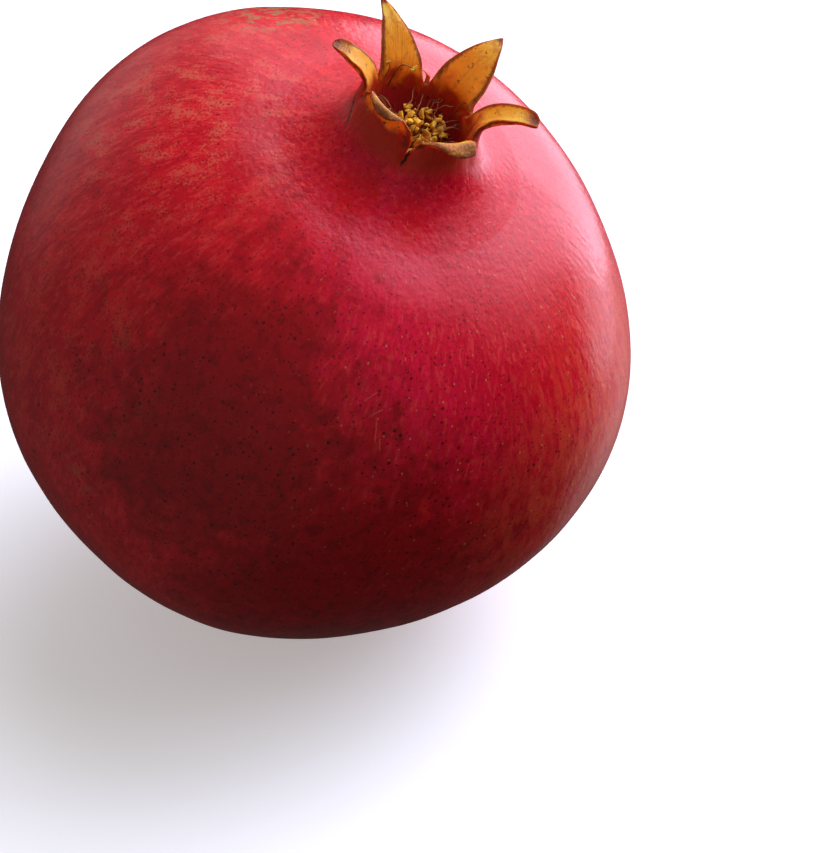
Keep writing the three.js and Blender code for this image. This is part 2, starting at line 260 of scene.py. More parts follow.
@dataclass(frozen=True)
class Sepal:
    """One sepal, in millimetres and degrees.

    start and end are the azimuths of the notches beside it. lean is the turn outwards at the foot, curl is what the
    blade turns further by its tip, and late is the power that keeps the curl for the tip. fold is one more turn,
    round the share fold_at of the length. trough is half the arc that the blade bends through across its tip, which
    it has from the share open_by on. The two rolls turn its edges further, inwards or, below zero, outwards. sway is
    the tip's drift round the cup, and drift is the power that keeps it for the tip. tip is the width there, belly
    the power of the outline, and notch the share by which the foot narrows. dry_from is where the tip turns dry.
    """

    name: str
    start: float
    end: float
    length: float
    lean: float
    curl: float
    late: float
    trough: float
    sway: float
    tip: float
    belly: float = 1.8
    fold: float = 0.0
    fold_at: float = 1.0
    fold_span: float = 0.3
    start_roll: float = 0.0
    end_roll: float = 0.0
    roll_from: float = 0.5
    ripple: float = 0.35
    open_by: float = 0.8
    drift: float = 2.0
    wall: float = 1.6
    blade_thickness: float = 0.75
    tip_thickness: float = 0.32
    dry_from: float = 0.86
    notch: float = 0.05
    line_steps: int = 48
    section_steps: int = 12

    @property
    def middle(self) -> float:
        """The azimuth halfway between its notches."""
        return (self.start + self.end) / 2

    @property
    def half_span(self) -> float:
        """Half the angle between its notches."""
        return (self.end - self.start) / 2

    def spans(self, azimuth: float) -> bool:
        """Whether an azimuth lies between the sepal's notches."""
        return abs(turn_from(self.middle, azimuth)) < self.half_span

    def across_at(self, azimuth: float) -> float:
        """The share from -1 to 1 across the sepal's foot at an azimuth."""
        return turn_from(self.middle, azimuth) / self.half_span

    def turn_at(self, along: float) -> float:
        """How far the blade has turned outwards, in radians, at a share of its length."""
        folded = smooth_step(along, self.fold_at - self.fold_span / 2, self.fold_at + self.fold_span / 2)
        turn = self.lean * smooth_step(along, 0, 0.3) + self.curl * along**self.late + self.fold * folded
        return math.radians(turn)

    def middle_line(self, along: float, radius: float, height: float) -> tuple[float, float]:
        """The (radius, height) of the middle line at a share of the length, from where it starts."""
        step = self.length * along / self.line_steps
        for i in range(self.line_steps):
            turn = self.turn_at(along * (i + 0.5) / self.line_steps)
            radius += step * math.sin(turn)
            height += step * math.cos(turn)
        return radius, height

    def half_width(self, along: float, foot: float) -> float:
        """Half the blade's width at a share of its length, for the half width of its foot."""
        narrowed = foot * (1 - self.notch * smooth_step(along, 0, 0.12))
        rounded = 1 - 0.45 * smooth_step(along, 0.93, 1.0)
        return (self.tip / 2 + (narrowed - self.tip / 2) * (1 - along**self.belly)) * rounded

    def section(self, across: float, along: float, half_width: float, foot_bend: float) -> tuple[float, float, float]:
        """Where the cross-section runs.

        Args:
            across: The share from -1 to 1 across the blade.
            along: The share of the blade's length.
            half_width: Half the blade's width there, in millimetres.
            foot_bend: Half the arc of the foot, in radians.

        Returns:
            The way across, the way inwards, both in millimetres, and the section's turn in radians.
        """
        roll = math.radians(self.end_roll if across > 0 else self.start_roll) * smooth_step(along, 0.02, 0.45)
        bend = blend(foot_bend, math.radians(self.trough), smooth_step(along, 0, self.open_by))
        sideways = inwards = turn = 0.0
        step = half_width * abs(across) / self.section_steps
        for i in range(self.section_steps):
            share = abs(across) * (i + 0.5) / self.section_steps
            turn = bend * share + roll * smooth_step(share, self.roll_from, 1.0)
            sideways += math.cos(turn) * step
            inwards += math.sin(turn) * step
        turn = bend * abs(across) + roll * smooth_step(abs(across), self.roll_from, 1.0)
        side = 1 if across >= 0 else -1
        return side * sideways, inwards, side * turn

    def thickness(self, across: float, along: float) -> float:
        """The blade's thickness."""
        blade = blend(self.wall, self.blade_thickness, smooth_step(along, 0, 0.3))
        thin = blend(blade, self.tip_thickness, smooth_step(along, 0.3, 1.0))
        return thin * (1 - 0.6 * abs(across) ** 3 * smooth_step(along, 0, 0.15))

    def place(self, across: float, side: float, along: float, radius: float, height: float) -> Vector:
        """The place of a point of the blade.

        Args:
            across: The share from -1 to 1 across the blade.
            side: -1 on the inner face, 0 between, and 1 on the outer face.
            along: The share of the blade's length.
            radius: The radius of the middle of the wall that the blade grows from.
            height: The height of that wall's rim.

        Returns:
            The point, in the upright fruit.
        """
        foot_bend = math.radians(self.half_span)
        half_width = self.half_width(along, radius * foot_bend)
        sideways, inwards, turn = self.section(across, along, half_width, foot_bend)
        r, z = self.middle_line(along, radius, height)
        tilt = self.turn_at(along)
        edge = abs(across) ** 3 * noise.noise(Vector((across * 1.5, along * 6, self.start)))
        face = 0.5 * noise.noise(Vector((across * 1.2, along * 2.5, self.end)))
        lift = self.ripple * smooth_step(along, 0.05, 0.5) * (edge + face)
        off = side * self.thickness(across, along) / 2 + lift
        out = off * math.cos(turn) - inwards
        point = Vector((r + out * math.cos(tilt), sideways + off * math.sin(turn), z - out * math.sin(tilt)))
        azimuth = math.radians(self.middle + self.sway * along**self.drift)
        return Matrix.Rotation(azimuth, 3, "Z") @ point

    def dryness(self, across: float, side: float, along: float) -> float:
        """How dry the blade is there, from 0 to 1."""
        tip = 1.0 if self.length < 2 else smooth_step(along, self.dry_from, self.dry_from + 0.14)
        if side > 0 or not self.fold:
            return tip
        lip = smooth_step(along, self.fold_at - 0.12, self.fold_at + 0.05)
        return max(tip, lip, smooth_step(abs(across), self.roll_from + 0.05, self.roll_from + 0.3))


SEPALS = (
    Sepal("right", 5, 47.5, 10.3, 36, 44, 1.0, 42, -5, 3.8, belly=2.6, start_roll=40, open_by=0.4, dry_from=0.72),
    Sepal("nub_right", 47.5, 52.5, 0.7, -20, 60, 1.0, 10, 0, 0.3, ripple=0.1),
    Sepal("back_right", 52.5, 112.5, 11.0, 28, 40, 1.4, 10, 1, 0.4, belly=1.8, open_by=0.5),
    Sepal("nub_back", 112.5, 117.5, 0.8, -30, 110, 1.0, 10, 8, 0.3, ripple=0.1),
    Sepal("back_left", 117.5, 172.5, 11.2, 30, 26, 1.4, 4, 15, 0.45, belly=1.7, notch=0.10, open_by=0.4, drift=0.8),
    Sepal(
        "left", 172.5, 212.5, 9.8, 46, 14, 1.0, 30, 18, 3.0,
        belly=2.6, end_roll=55, open_by=0.5, drift=0.8, dry_from=0.62,
    ),
    Sepal(
        "front_left", 220, 292.5, 5.2, 6, 6, 1.0, 20, 5, 2.2,
        belly=2.2, fold=128, fold_at=0.74, fold_span=0.24, start_roll=-15, end_roll=-40, roll_from=0.75,
        notch=-0.04, drift=1.0,
    ),
    Sepal(
        "front", 297.5, 360, 4.5, 26, 14, 1.0, 8, 13, 2.6,
        belly=2.1, fold=88, fold_at=0.54, fold_span=0.32, start_roll=-30, end_roll=-55, roll_from=0.7, notch=0.02,
    ),
)


@dataclass(frozen=True)
class Notch:
    """How the rim sinks at a notch between two sepals, in degrees and millimetres."""

    azimuth: float
    dip: float
    inset: float
    spread: float = 1.3


@dataclass(frozen=True)
class Crack:
    """A split of the neck's wall below a notch, in degrees and millimetres.

    slant is how many degrees round it drifts for each millimetre down. depth and half_width are its groove's, and
    slit is the width of the dark line of painted shade down it, which starts above the rim.
    """

    azimuth: float
    slant: float
    length: float
    depth: float
    half_width: float
    slit: float
    radius: float = 9.9
    above: float = 0.6

    def azimuth_at(self, down: float) -> float:
        """The azimuth of its line at a distance below the rim."""
        return self.azimuth + self.slant * down

    def ends(self, stance: Stance) -> tuple[Vector, ...]:
        """Both ends of its dark line once the neck has bent aside."""
        ends = []
        for down in (-self.above, self.length):
            flat = direction(self.azimuth_at(down), 90) * self.radius
            ends.append(stance.bend(Vector((flat.x, flat.y, RIM_HEIGHT - down))))
        return tuple(ends)


CRACKS = (Crack(213, 3.4, 4.4, 0.30, 0.6, 0.30), Crack(294, -0.8, 3.2, 0.6, 0.5, 0.55))


class NodeBook:
    """The shader nodes of a material or of the world, added and linked by short calls."""

    def __init__(self, owner: bpy.types.Material | bpy.types.World) -> None:
        """Starts with none."""
        owner.use_nodes = True
        self.owner = owner
        self.tree = owner.node_tree
        self.tree.nodes.clear()

    def feed(self, target: Socket, value: Feed) -> None:
        """Links a socket into target, or sets target's own value."""
        if isinstance(value, Socket):
            self.tree.links.new(value, target)
        elif isinstance(value, (int, float)):
            target.default_value = value
        else:
            size = len(target.default_value)
            target.default_value = tuple(value) if size == len(value) else (*value, 1.0)

    def add(self, kind: str, feeds: dict[str | int, Feed], **settings: object) -> bpy.types.Node:
        """Adds a node.

        Args:
            kind: Its type's identifier.
            feeds: What goes into its inputs, by name or number.
            **settings: Its own properties.

        Returns:
            The node.
        """
        node = self.tree.nodes.new(kind)
        for name, value in settings.items():
            setattr(node, name, value)
        for key, value in feeds.items():
            self.feed(node.inputs[key], value)
        return node

    def math(self, operation: str, first: Feed, second: Feed = 0.0, third: Feed = 0.0) -> Socket:
        """The result of a sum on up to three numbers."""
        return self.add("ShaderNodeMath", {0: first, 1: second, 2: third}, operation=operation).outputs[0]

    def plus(self, first: Feed, second: Feed) -> Socket:
        """The sum of two numbers."""
        return self.math("ADD", first, second)

    def times(self, product: Feed, *others: Feed) -> Feed:
        """The product of all the numbers."""
        for other in others:
            product = self.math("MULTIPLY", product, other)
        return product

    def fit(self, value: Feed, factor: float, offset: Feed) -> Socket:
        """A number times a factor, plus an offset."""
        return self.math("MULTIPLY_ADD", value, factor, offset)

    def most(self, first: Feed, second: Feed) -> Socket:
        """The larger of two numbers."""
        return self.math("MAXIMUM", first, second)

    def vector(self, operation: str, feeds: dict[str | int, Feed], output: str = "Vector") -> Socket:
        """The result of a sum on vectors, as a vector or, for the output Value, as a number."""
        return self.add("ShaderNodeVectorMath", feeds, operation=operation).outputs[output]

    def lift(self, value: Feed, factor: float) -> Socket:
        """The upright vector that is a number times a factor long."""
        return self.add("ShaderNodeCombineXYZ", {2: self.times(value, factor)}).outputs[0]

    def mix(self, share: Feed, first: Feed, second: Feed) -> Socket:
        """A colour between two."""
        return self.add("ShaderNodeMix", {0: share, 6: first, 7: second}, data_type="RGBA").outputs[2]

    def between(self, share: Feed, first: Feed, second: Feed) -> Socket:
        """A number between two."""
        return self.add("ShaderNodeMix", {0: share, 2: first, 3: second}, data_type="FLOAT").outputs[0]

    def rise(self, value: Feed, low: float, high: float, top: float = 1.0) -> Socket:
        """A smooth rise from 0 where value is low to top where it is high, or a fall where low is the larger."""
        feeds = {"Value": value, "From Min": low, "From Max": high, "To Max": top}
        return self.add("ShaderNodeMapRange", feeds, interpolation_type="SMOOTHSTEP").outputs[0]

    def noise(self, coords: Feed, scale: float, detail: float, warp: float) -> Socket:
        """Soft noise from 0 to 1, with scale cells to a unit of coords."""
        feeds = {"Vector": coords, "Scale": scale, "Detail": detail, "Distortion": warp}
        return self.add("ShaderNodeTexNoise", feeds).outputs[0]

    def dots(self, coords: Feed, scale: float, radius: float, share: float = 1.0) -> Socket:
        """Scattered soft dots.

        Args:
            coords: Where the pattern is read.
            scale: How many cells there are to a unit of coords.
            radius: The radius of the largest dots, in the units of coords.
            share: The share of the cells that hold a dot.

        Returns:
            1 in a dot and 0 outside.
        """
        cells = self.add("ShaderNodeTexVoronoi", {"Vector": coords, "Scale": scale})
        chance = self.add("ShaderNodeSeparateColor", {0: cells.outputs["Color"]}).outputs[0]
        limit = self.fit(chance, -radius * scale / share, radius * scale)
        return self.rise(self.math("SUBTRACT", cells.outputs["Distance"], limit), 0.0, -0.30 * radius * scale)

    def attribute(self, pattern: Pattern) -> Socket:
        """The value of one of the skin's own attributes."""
        return self.add("ShaderNodeAttribute", {}, attribute_name=pattern.value).outputs["Fac"]

    def surface(self, feeds: dict[str | int, Feed], height: Feed, relief: float) -> bpy.types.Material:
        """Closes the material with its shader.

        Args:
            feeds: What goes into the shader's inputs.
            height: The height of the fine relief, from 0 to 1.
            relief: How tall that relief is, in millimetres.

        Returns:
            The finished material.
        """
        bump = self.add("ShaderNodeBump", {"Height": height, "Distance": relief * MILLIMETRE, "Strength": 1.0})
        shader = self.add("ShaderNodeBsdfPrincipled", {**feeds, "Normal": bump.outputs[0]})
        self.add("ShaderNodeOutputMaterial", {0: shader.outputs[0]})
        return self.owner


class FruitBook(NodeBook):
    """The nodes of a material of the fruit, with places on the upright fruit in millimetres and degrees."""

    def __init__(self, name: str, stance: Stance) -> None:
        """Starts with the place on the upright fruit and the direction of that place from its middle."""
        super().__init__(bpy.data.materials.new(name))
        feeds = {
            "Vector": self.add("ShaderNodeTexCoord", {}).outputs["Object"],
            "Location": stance.middle,
            "Rotation": (0, math.radians(stance.lean), 0),
            "Scale": (MILLIMETRE,) * 3,
        }
        self.place = self.add("ShaderNodeMapping", feeds, vector_type="TEXTURE").outputs[0]
        self.unit = self.vector("NORMALIZE", {0: self.place})

    def cloud(self, scale: float, detail: float = 3.0, warp: float = 0.0) -> Socket:
        """Soft noise from 0 to 1, with scale cells to a millimetre."""
        return self.noise(self.place, scale, detail, warp)

    def meridians(self, around: float, down: float) -> Socket:
        """Coordinates that change fast round the axis and slowly along it.

        Args:
            around: How many units the coordinates cover from the axis to its ring.
            down: How many units they cover for each radian from the crown.

        Returns:
            The coordinates.
        """
        parts = self.add("ShaderNodeSeparateXYZ", {0: self.place}).outputs
        flat = self.add("ShaderNodeCombineXYZ", {0: parts[0], 1: parts[1]}).outputs[0]
        ring = self.vector("SCALE", {0: self.vector("NORMALIZE", {0: flat}), "Scale": around})
        polar = self.math("ARCTAN2", self.vector("LENGTH", {0: flat}, "Value"), parts[2])
        return self.vector("ADD", {0: ring, 1: self.lift(polar, down)})

    def streaks(self, around: float, down: float, detail: float, warp: float) -> Socket:
        """Soft noise from 0 to 1, drawn out from pole to pole by meridians of those two scales."""
        return self.noise(self.meridians(around, down), 1.0, detail, warp)

    def reach(self, place: Feed, axis: Vector) -> Socket:
        """How far a place lies along an axis."""
        return self.vector("DOT_PRODUCT", {0: place, 1: axis}, "Value")

    def facing(self, azimuth: float, polar: float) -> Socket:
        """The cosine of the angle between a place and a direction."""
        return self.reach(self.unit, direction(azimuth, polar))

    def region(self, azimuth: float, polar: float, inner: float, outer: float) -> Socket:
        """A soft round region of the skin: 1 up to inner degrees from its middle, and 0 past outer."""
        return self.rise(self.facing(azimuth, polar), cosine(outer), cosine(inner))

    def line(self, ragged: Feed, first: Vector, last: Vector, width: float) -> Socket:
        """A thin line on the skin, with ragged sides and soft ends.

        Args:
            ragged: The noise that makes its sides ragged.
            first: Where the line starts.
            last: Where it ends.
            width: How wide it is, in millimetres.

        Returns:
            1 on the line and 0 off it.
        """
        middle = (first + last) / 2
        along = (last - first).normalized()
        half = (last - first).length / 2
        jitter = self.fit(ragged, width * 1.6, -width * 0.8)
        away = self.math("ABSOLUTE", self.plus(self.reach(self.place, first.cross(last).normalized()), jitter))
        past = self.math("ABSOLUTE", self.math("SUBTRACT", self.reach(self.place, along), middle.dot(along)))
        near = self.rise(self.reach(self.unit, middle.normalized()), 0.955, 0.975)
        return self.times(self.rise(away, width / 2, width / 5), near, self.rise(past, half, half * 0.6))


@dataclass
class Coats:
    """A colour that is built up coat by coat."""

    book: NodeBook
    colour: Feed

    def lay(self, coat: Feed, *shares: Feed) -> None:
        """Lays another coat on, by the product of its shares."""
        self.colour = self.book.mix(self.book.times(*shares), self.colour, coat)


@dataclass(frozen=True)
class Look:
    """The sockets that a finish hands to a shader."""

    colour: Feed
    roughness: Socket
    height: Socket


@dataclass(frozen=True)
class RindFinish:
    """Crimson rind with maroon clouds, broken scarlet streaks from pole to pole, dark dots and tan flecks. Its colour
    also holds painted light: a magenta sheen on the lit upper front, duller crimson under the highlight on the right,
    and maroon shade low on the left and the front right.

    scratches holds the azimuth and polar angle of both ends of each, in degrees. Other lengths are in millimetres.
    """

    scarlet: Colour = (0.85, 0.010, 0.020)
    crimson: Colour = (0.68, 0.004, 0.014)
    cherry: Colour = (0.80, 0.002, 0.004)
    # This magenta is laid only on the lit upper front, partly as the rind's own tone and partly as painted sheen.
    magenta_sheen: Colour = (0.84, 0.005, 0.050)
    maroon: Colour = (0.34, 0.0015, 0.004)
    # dusk is laid only in the darker lower-left region, where it is partly the rind's own colour and partly painted
    # shade.
    dusk: Colour = (0.17, 0.0012, 0.003)
    wine: Colour = (0.42, 0.002, 0.008)
    rose: Colour = (0.88, 0.050, 0.050)
    plum: Colour = (0.44, 0.002, 0.018)
    salmon: Colour = (0.74, 0.11, 0.060)
    orange: Colour = (0.79, 0.070, 0.025)
    dot: Colour = (0.040, 0.002, 0.004)
    tan: Colour = (0.60, 0.27, 0.09)
    russet: Colour = (0.40, 0.22, 0.09)
    roughness: float = 0.22
    relief: float = 0.12
    scratch_radius: float = 48.0
    scratch_width: float = 0.22
    scratches: tuple[tuple[float, float, float, float], ...] = (
        (-55.4, 51.2, -52.6, 49.0),
        (-53.4, 53.6, -50.2, 51.6),
        (-51.6, 53.4, -50.4, 58.4),
        (-49.8, 56.8, -49.2, 59.4),
        (28.0, 59.0, 31.0, 62.0),
        (139.0, 69.0, 142.0, 71.5),
    )

    def ground(self, book: FruitBook) -> Coats:
        """The rind's colour before its dots and flecks, with its painted sheen and painted shade."""
        calm = book.region(0, 0, 15, 40)
        cloud = book.cloud(0.30, 5, 0.4)
        grain = book.cloud(1.9, 4, 0.3)
        bands = book.streaks(9, 7, 5, 0.3)
        streaks = book.between(calm, book.streaks(26, 12, 5, 0.4), book.cloud(0.7, 5, 0.3))
        lines = book.between(calm, book.streaks(52, 22, 4, 0.5), book.cloud(1.3, 4, 0.4))
        coats = Coats(book, self.crimson)
        coats.lay(self.scarlet, book.rise(bands, 0.38, 0.62))
        # A pinker magenta on the lit upper front, broken by streaks: partly the rind's own tone, partly a painted
        # sheen.
        sheen_bloom = book.plus(book.facing(-16, 34), book.fit(streaks, 0.6, -0.30))
        coats.lay(self.magenta_sheen, book.rise(sheen_bloom, 0.70, 0.94, 0.86))
        # Painted light: plain crimson is laid back over the upper right, making the red duller under the strongest
        # highlight to offset the light there.
        coats.lay(self.crimson, book.region(25, 42, 6, 50))
        coats.lay(self.crimson, book.rise(streaks, 0.50, 0.66, 0.48))
        coats.lay(self.rose, book.rise(lines, 0.53, 0.66, 0.60))
        coats.lay(self.plum, book.rise(lines, 0.47, 0.34, 0.50))
        coats.lay(self.wine, book.rise(grain, 0.50, 0.70, 0.35))
        coats.lay(self.maroon, book.rise(cloud, 0.52, 0.78, 0.30))
        ragged = book.fit(cloud, 0.32, book.fit(book.cloud(0.05, 3, 0.5), 0.35, -0.33))
        # A maroon region over the lower left and lower front, with deeper dusk mottles: partly the rind's own darker
        # colour, partly painted shade on the side turned from the light.
        dark_side_and_shade = book.most(book.facing(-77, 68), book.facing(-48, 90))
        dark_side_and_shade = book.rise(book.plus(dark_side_and_shade, ragged), 0.78, 1.0, 0.80)
        coats.lay(self.maroon, dark_side_and_shade)
        coats.lay(self.dusk, dark_side_and_shade, book.rise(book.cloud(0.42, 4, 0.5), 0.50, 0.66, 0.55))
        # Painted shade: a faint maroon patch darkens the rind low on its front right.
        coats.lay(self.maroon, book.region(-15, 72, 4, 20), 0.28)
        spots = book.most(book.region(-87, 17, 1, 6), book.region(-50, 19, 1, 6))
        coats.lay(self.cherry, spots, book.rise(grain, 0.34, 0.58, 0.75))
        blush = book.most(book.region(-152, 44, 4, 34), book.times(book.region(-118, 78, 4, 30), 0.5))
        broken = book.plus(book.cloud(2.6, 4, 0.3), book.times(bands, 1.1))
        coats.lay(self.salmon, book.rise(book.fit(cloud, 0.7, broken), 1.42, 1.60), blush, 0.78)
        coats.lay(self.orange, book.region(12, 80, 10, 44), book.rise(streaks, 0.36, 0.62), 0.70)
        return coats

    def add_flecks(self, book: FruitBook, coats: Coats) -> None:
        """Lays on the rind's dots, tan flecks, scratches and russet."""
        crowd = book.fit(book.rise(book.cloud(0.16), 0.34, 0.62), 0.7, 0.3)
        large = book.times(book.dots(book.place, 1.05, 0.33), crowd, book.region(-56, 100, 48, 86))
        small = book.times(book.dots(book.place, 1.6, 0.22), 0.70)
        coats.lay(self.dot, book.most(large, small), 0.85)
        pale = book.dots(book.meridians(40, 34), 1.0, 0.20, 0.8)
        coats.lay(self.tan, pale, book.fit(book.region(-12, 50, 16, 56), 0.8, 0.12), 0.75)
        ragged = book.cloud(1.6)
        for scratch in self.scratches:
            ends = (direction(*end) * self.scratch_radius for end in (scratch[:2], scratch[2:]))
            coats.lay(self.tan, book.line(ragged, *ends, self.scratch_width), 0.32)
        net = book.cloud(0.55, 4, 1.2)
        patch = book.times(book.region(158, 46, 3, 12), book.rise(net, 0.47, 0.56))
        scar = book.times(book.region(-98, 96, 0, 4.5), book.rise(net, 0.50, 0.62, 0.5))
        coats.lay(self.russet, book.most(patch, scar), 0.70)

    def look(self, book: FruitBook) -> Look:
        """The colour, roughness and relief of the rind."""
        coats = self.ground(book)
        self.add_flecks(book, coats)
        grain = book.cloud(1.4)
        peel = book.between(book.region(0, 0, 20, 42), book.streaks(30, 17, 2, 0.3), book.cloud(0.95, 2, 0.2))
        height = book.plus(book.times(peel, 0.8), book.times(grain, 0.35))
        roughness = book.between(book.rise(grain, 0.3, 0.7), self.roughness - 0.04, self.roughness + 0.06)
        return Look(coats.colour, roughness, height)

    def material(self, stance: Stance) -> bpy.types.Material:
        """The rind's material."""
        book = FruitBook("crimson_rind", stance)
        look = self.look(book)
        feeds = {
            "Base Color": look.colour,
            "Roughness": look.roughness,
            "IOR": 1.37,
            "Coat Weight": 0.08,
            "Coat Roughness": 0.3,
        }
        return book.surface(feeds, look.height, self.relief)


@dataclass(frozen=True)
class CalyxFinish:
    """Leathery sepals: red at the foot, orange, then yellow and dry brown at the tips, with brown flecks. The cup
    darkens towards its floor, partly as painted shade, and the dark lines down the cracks are painted shade.
    """

    rind: RindFinish
    foot: Colour = (0.52, 0.028, 0.007)
    orange: Colour = (1.0, 0.41, 0.020)
    yellow: Colour = (0.95, 0.58, 0.052)
    wall: Colour = (0.72, 0.045, 0.016)
    tip: Colour = (0.15, 0.024, 0.005)
    straw: Colour = (0.62, 0.23, 0.030)
    meal: Colour = (0.30, 0.085, 0.016)
    margin: Colour = (0.17, 0.036, 0.008)
    fleck: Colour = (0.16, 0.028, 0.006)
    # The cup's own deep red, kept darker than the sepals as painted shade in the hollow.
    cup: Colour = (0.38, 0.009, 0.012)
    # Near black: the painted shade down the cracks, also laid as dark dots inside the cup.
    slit: Colour = (0.035, 0.006, 0.005)
    roughness: float = 0.46
    dry_roughness: float = 0.55

    def veins(self, book: FruitBook) -> Socket:
        """Fine lines that run up each sepal."""
        return book.streaks(20, 9, 4, 0.5)

    def sepal_colour(self, book: FruitBook) -> Feed:
        """The colour of sepals and cup."""
        patterns = (Pattern.ALONG, Pattern.ACROSS, Pattern.INNER, Pattern.DEPTH, Pattern.DRY)
        along, across, inner, depth, dry = (book.attribute(pattern) for pattern in patterns)
        outer = book.math("SUBTRACT", 1.0, inner)
        cloud = book.cloud(0.38, 4, 0.6)
        grain = book.cloud(1.7, 4, 0.3)
        drift = book.plus(along, book.fit(cloud, 0.60, -0.30))
        drift = book.plus(drift, book.fit(inner, 0.18, -0.18))
        coats = Coats(book, self.foot)
        coats.lay(self.orange, book.rise(drift, -0.04, 0.26))
        coats.lay(self.yellow, book.rise(drift, 0.42, 0.92))
        coats.lay(self.meal, book.rise(self.veins(book), 0.50, 0.75, 0.26))
        coats.lay(self.foot, book.rise(grain, 0.52, 0.78, 0.28))
        coats.lay(self.fleck, book.rise(book.cloud(1.15, 3, 0.8), 0.64, 0.71, 0.85))
        coats.lay(self.meal, book.rise(book.cloud(0.62, 5, 0.9), 0.52, 0.68, 0.42), book.rise(along, 0.1, 0.4))
        coats.lay(self.wall, book.rise(book.fit(cloud, 0.5, along), 0.62, 0.18, 0.72), outer)
        coats.lay(self.margin, book.dots(book.place, 0.9, 0.55, 0.8), book.rise(along, 0.06, 0.2, 0.7), outer)
        edge = book.rise(book.plus(across, book.fit(grain, 0.30, -0.15)), 0.72, 0.90)
        coats.lay(self.margin, edge, book.rise(along, 0.04, 0.16), 0.90)
        coats.lay(self.straw, book.rise(across, 0.97, 1.0), book.rise(grain, 0.35, 0.6, 0.8))
        drawn = {0: book.vector("SCALE", {0: book.place, "Scale": 0.6}), 1: book.lift(along, 16.0)}
        fibres = book.noise(book.vector("ADD", drawn), 1.0, 5, 0.4)
        meal = Coats(book, self.meal)
        meal.lay(self.straw, book.rise(book.cloud(3.4, 4, 0.3), 0.42, 0.60), book.rise(fibres, 0.36, 0.56))
        meal.lay(self.tip, book.rise(cloud, 0.46, 0.64, 0.7))
        coats.lay(meal.colour, dry, 0.85)
        far = book.plus(book.fit(cloud, 0.20, -0.10), book.fit(dry, 0.10, along))
        coats.lay(self.tip, book.rise(far, 0.92, 1.04, 0.85), book.rise(along, 0.6, 0.8))
        # Towards the floor the cup's inner face turns to this darker red: partly its own colour, partly painted shade
        # in the hollow.
        cup = Coats(book, self.cup)
        cup.lay(self.slit, book.dots(book.place, 0.7, 0.5, 0.6), book.rise(depth, 0.03, 0.12), 0.8)
        coats.lay(cup.colour, inner, book.rise(depth, 0.0, 0.32))
        return coats.colour

    def material(self, stance: Stance) -> bpy.types.Material:
        """The calyx's material, which is the rind's own where the two meet."""
        book = FruitBook("orange_calyx", stance)
        rind = self.rind.look(book)
        crown, inner, dry = (book.attribute(pattern) for pattern in (Pattern.CROWN, Pattern.INNER, Pattern.DRY))
        grain = book.cloud(1.5)
        ragged = book.plus(crown, book.fit(book.cloud(0.3, 4), 0.5, -0.25))
        share = book.times(book.rise(ragged, 0.35, 1.0), book.rise(crown, 0.0, 0.15))
        height = book.plus(self.veins(book), book.times(grain, 0.3))
        height = book.fit(book.times(dry, book.cloud(2.6, 4, 0.4)), 1.6, height)
        # Dark lines down the cracks, painted shade of the splits in the neck's wall.
        slit_shadows = (book.line(grain, *crack.ends(stance), crack.slit) for crack in CRACKS)
        coats = Coats(book, rind.colour)
        coats.lay(self.sepal_colour(book), share)
        coats.lay(self.slit, book.most(*slit_shadows), book.math("SUBTRACT", 1.0, inner))
        skin = book.between(share, rind.roughness, self.roughness)
        feeds = {
            "Base Color": coats.colour,
            "Roughness": book.between(dry, skin, self.dry_roughness),
            "Subsurface Weight": book.times(share, 0.75),
            "Subsurface Radius": (1.0, 0.40, 0.08),
            "Subsurface Scale": 0.0015,
            "IOR": 1.33,
        }
        return book.surface(feeds, book.between(share, rind.height, height), self.rind.relief)


@dataclass(frozen=True)
class DryFinish:
    """A dry, matt finish of two colours, mixed by noise."""

    name: str
    light: Colour
    dark: Colour
    grain: float
    roughness: float
    relief: float

    def material(self, stance: Stance) -> bpy.types.Material:
        """The dry material."""
        book = FruitBook(self.name, stance)
        cloud = book.cloud(self.grain, 4, 0.4)
        fine = book.cloud(self.grain * 5)
        coats = Coats(book, self.dark)
        coats.lay(self.light, book.rise(cloud, 0.32, 0.66))
        coats.lay(self.dark, book.rise(fine, 0.5, 0.8, 0.5))
        feeds = {"Base Color": coats.colour, "Roughness": self.roughness, "Specular IOR Level": 0.3}
        return book.surface(feeds, book.plus(cloud, book.times(fine, 0.5)), self.relief)


@dataclass
class PieceMaker:
    """What every sub-assembly needs to turn its shapes into finished pieces."""

    stance: Stance

    def finish(self, bm: BMesh, name: str, node: str, material: bpy.types.Material, levels: int = 0) -> None:
        """Makes a piece on the root body of a shape that is already set down.

        Args:
            bm: The shape, which is freed.
            name: The piece's name.
            node: The CAD node that it stands for, whose imported part is hidden.
            material: Its material.
            levels: How many times its faces are subdivided.
        """
        for face in bm.faces:
            face.smooth = True
            face.material_index = 0
        shading = bm.verts.layers.float_vector.get(SHADING)
        normals = [vert[shading].copy() for vert in bm.verts] if shading else []
        mesh = meshed(bm, name)
        if normals:
            mesh.normals_split_custom_set_from_vertices(normals)
        piece = placed(name, mesh)
        mesh.materials.append(material)
        if levels:
            subdivide(piece, levels)
        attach(piece, ROOT_BODY)
        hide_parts(node)
        LOG.info("%s: %d faces, stands for %s", name, len(mesh.polygons), node)


class Part(Enum):
    """The two parts of the skin, by the number that their faces carry."""

    RIND = 0
    CALYX = 1


